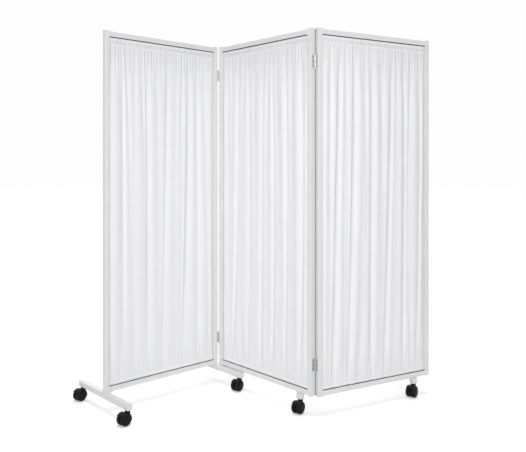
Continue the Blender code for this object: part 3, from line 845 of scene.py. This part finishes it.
hood = hood_model()
wheel = wheel_model()
for castor in ("back", "front", "fold", "centre", "right"):
    stand = standing(joint_place[f"{castor}_castor_swivel"], castor_heading)
    cover = copied(hood, stand)
    dress(cover, f"{castor}_castor_cover", f"{castor}_castor", hood_black)
    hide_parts(f"{castor}_castor_hood")
    for side, turn in (("left", 0), ("right", pi)):
        place = stand @ Matrix.Translation(axle_place) @ Matrix.Rotation(turn, 4, "Z")
        tyre = copied(wheel, place)
        dress(tyre, f"{castor}_castor_{side}_tyre", f"{castor}_castor_{side}_roller", wheel_black)
        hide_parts(f"{castor}_castor_{side}_wheel")
drop(hood)
drop(wheel)


# Grey bead in the right fold, below, between and above its hinges, standing in for the shadow in the fold's
# gap:
# painted shade. It lies on the pivot line, with a lip on the right frame's post

def gap_shade_bead(low, high):
    """One length of the grey bead, drawn round the pivot at its lower end and pulled up."""
    turns = np.radians(np.arange(-105, 196, 12))
    bead = [(-bead_radius * np.cos(turn), bead_radius * np.sin(turn), low) for turn in turns]
    lip = [(half_gap, lip_start, low), (half_gap, lip_end, low), (lip_tip, lip_end, low)]
    draw(bead + lip, True)
    bpy.ops.mesh.extrude_region_move(TRANSFORM_OT_translate={"value": (0, 0, high - low)})
    shade_bead = finish_edit()
    shade_bead.data.transform(panels["right"][0])
    return smooth(shade_bead, 40)


low = frame_bottom + bead_bottom_gap
for number, stop in enumerate((*hinge_levels.values(), frame_top), 1):
    shade_bead = gap_shade_bead(low, stop - bead_end_gap)
    dress(shade_bead, f"right_fold_seal_{number}", "right_panel", gap_shade_grey)
    low = stop + hinge_height + bead_end_gap


# Screws: sunk ones in the hinge leaves, and one with a round head under each plate

def cross_recess(depth, reach):
    """Cutter for a cross slot, around the origin, downwards from a head's top."""
    arm = box((-reach, -slot_half_width, -depth), (reach, slot_half_width, slot_overrun))
    other = box((-slot_half_width, -reach, -depth), (slot_half_width, reach, slot_overrun))
    return combine(arm, other, "UNION")


def sunk_screw():
    """Screw whose head is flush with X = 0 and whose shank runs along +X."""
    head = round_bar(sunk_neck_radius, sunk_head_height, (0, 0, -sunk_head_height / 2), 24,
                     far_radius=sunk_head_radius)
    shank = round_bar(sunk_shank_radius, sunk_shank_length, (0, 0, sunk_shank_middle), 16)
    combine(head, shank, "UNION")
    combine(head, cross_recess(sunk_slot_depth, sunk_slot_reach), "DIFFERENCE")
    head.data.transform(Matrix.Rotation(-pi / 2, 4, "Y"))
    return smooth(head)


def plate_screw():
    """Screw with a round head below Z = 0 and its shank above."""
    head = round_bar(round_head_radius, round_head_height, (0, 0, round_head_height / 2), 28)
    soften(head, round_head_edge, 3, 60)
    shank = round_bar(plate_shank_radius, plate_shank_length, (0, 0, plate_shank_middle), 16)
    combine(head, shank, "UNION")
    slot = cross_recess(round_slot_depth, round_slot_reach)
    slot.data.transform(Matrix.Translation((0, 0, round_head_height)))
    combine(head, slot, "DIFFERENCE")
    head.data.transform(Matrix.Rotation(pi, 4, "X"))
    return smooth(head)


screw = sunk_screw()
# Each leaf: its fold, its side of the hinge, its panel, the place of its holes in that, and its turn
leaves = (
    ("left_fold", "left", "left", (-leaf_face, leaf_hole_depth), pi),
    ("left_fold", "right", "centre", (leaf_face, leaf_hole_depth), 0),
    ("right_fold", "left", "centre",
     (panel_width + 2 * half_gap - leaf_face, 2 * post_middle - leaf_hole_depth), pi),
    ("right_fold", "right", "right", (leaf_face, -leaf_hole_depth), 0),
)
holes = (hinge_hole_from_end, hinge_height / 2, hinge_height - hinge_hole_from_end)
for level, low in hinge_levels.items():
    for fold, leaf, side, (along, back), turn in leaves:
        place = panels[side][0]
        screws = []
        for number, height in enumerate(holes):
            spot = place @ Matrix.Translation((along, back, low + height))
            slot_turn = Matrix.Rotation(first_slot_turn + slot_turn_step * number + along, 4, "X")
            screws.append(copied(screw, spot @ Matrix.Rotation(turn, 4, "Z") @ slot_turn))
        name = f"{fold}_{level}_hinge_{leaf}_screws"
        dress(joined(screws), name, f"{side}_panel", screw_steel)
drop(screw)

screw = plate_screw()
for side, along in plate_screw_places.items():
    place, _, middle = panels[side]
    spot = place @ Matrix.Translation((along, middle, plate_screw_level))
    dress(copied(screw, spot), f"{side}_plate_screw", f"{side}_panel", steel)
drop(screw)


# Welds, ground flush where rails meet posts

def ground_weld(side, end, level):
    """Band round the corner where a rail meets a post, a hair proud of the tubes."""
    place, first, middle = panels[side]
    along = first + (tube_side if end == "left" else panel_width - tube_side)
    half = tube_side / 2 + weld_proud
    weld = box((along - weld_half_width, middle - half, level - half),
               (along + weld_half_width, middle + half, level + half))
    soften(weld, tube_corner, 3, 60)
    weld.data.transform(place)
    return smooth(weld)


for side in panels:
    for end in ("left", "right"):
        for rail, level in (("top", frame_top - tube_side / 2), ("bottom", frame_bottom + tube_side / 2)):
            weld = ground_weld(side, end, level)
            dress(weld, f"{side}_{rail}_{end}_weld", f"{side}_panel", paint)


# Finishes on the frame's own pieces

for name, piece in frame["nodes"].items():
    if name.endswith("_cap"):
        material = cap_paint
    elif "hinge" in name:
        material = zinc
    elif name.endswith("_stem"):
        material = steel
    else:
        material = paint
    piece.data.materials.clear()
    piece.data.materials.append(material)


# Floor, light and camera

def floor_finish():
    """White studio floor: it shows white to the camera and keeps the shadows that fall on it."""
    finish = Finish("studio_floor")
    path = finish.tree.nodes.new("ShaderNodeLightPath")
    seen = Value(finish, path.outputs["Is Camera Ray"]) + Value(finish, path.outputs["Is Glossy Ray"])
    seen = seen + Value(finish, path.outputs["Is Transmission Ray"])
    finish.set(Base_Color=(0.86, 0.86, 0.86), Roughness=0.9, Emission_Color=(1.0, 1.0, 1.0))
    finish.set(Emission_Strength=seen * 0.29)
    finish.surface.inputs["Specular IOR Level"].default_value = 0
    return finish.material


bpy.ops.mesh.primitive_plane_add(size=floor_size, location=floor_middle)
floor = place_in_mesh(bpy.context.object)
floor.name = "studio_floor"
floor.data.materials.append(floor_finish())


def studio_world():
    """Even daylight all round; the camera and reflections see a white room."""
    world = bpy.data.worlds.new("studio")
    bpy.context.scene.world = world
    world.use_nodes = True
    tree = world.node_tree
    light = tree.nodes["Background"]
    light.inputs["Color"].default_value = (1, 1, 1, 1)
    light.inputs["Strength"].default_value = 0.245
    white = tree.nodes.new("ShaderNodeBackground")
    white.inputs["Color"].default_value = (0.99, 0.99, 0.99, 1)
    path = tree.nodes.new("ShaderNodeLightPath")
    seen = path.outputs["Is Camera Ray"]
    for ray in ("Is Glossy Ray", "Is Transmission Ray"):
        either = tree.nodes.new("ShaderNodeMath")
        either.operation = "MAXIMUM"
        tree.links.new(seen, either.inputs[0])
        tree.links.new(path.outputs[ray], either.inputs[1])
        seen = either.outputs[0]
    mix = tree.nodes.new("ShaderNodeMixShader")
    tree.links.new(seen, mix.inputs[0])
    tree.links.new(light.outputs[0], mix.inputs[1])
    tree.links.new(white.outputs[0], mix.inputs[2])
    tree.links.new(mix.outputs[0], tree.nodes["World Output"].inputs[0])


studio_world()


def window(name, heading, height, strength, spread):
    """Wide soft light from one side: heading 0 is from the front, and grows to the right."""
    bpy.ops.object.light_add(type="SUN", location=(0, 0, 4))
    lamp = bpy.context.object
    lamp.name = name
    lamp.data.energy = pi * strength
    lamp.data.angle = radians(spread)
    lamp.rotation_euler = (pi / 2 - radians(height), 0, radians(heading))


def soft_box(name, place, size, power):
    """Round soft box on a stand, turned to the middle of the screen."""
    bpy.ops.object.light_add(type="AREA", location=place)
    lamp = bpy.context.object
    lamp.name = name
    lamp.data.shape = "DISK"
    lamp.data.size = size
    lamp.data.energy = power
    lamp.rotation_euler = (screen_middle - Vector(place)).to_track_quat("-Z", "Y").to_euler()


window("front_window", -5, 10, 0.30, 20)
window("ceiling_light", 0, 87, 0.38, 16)
window("back_window", 180, 35, 0.29, 50)
soft_box("right_soft_box", (0.25, -2.4, 1.65), 1.2, 12.0)
soft_box("middle_soft_box", (-0.25, -1.8, 1.5), 1.0, 3.9)

bpy.context.scene.view_settings.view_transform = "Standard"

bpy.ops.object.camera_add(
    location=(joint_place["left_fold"].x + camera_across, joint_place["left_fold"].y + camera_away,
              camera_height),
    rotation=(pi / 2, 0, 0))
camera = bpy.context.object
camera.data.lens = 44.4
camera.data.sensor_width = 36
camera.data.shift_x = 0.0099
camera.data.shift_y = -0.1144
bpy.context.scene.camera = camera
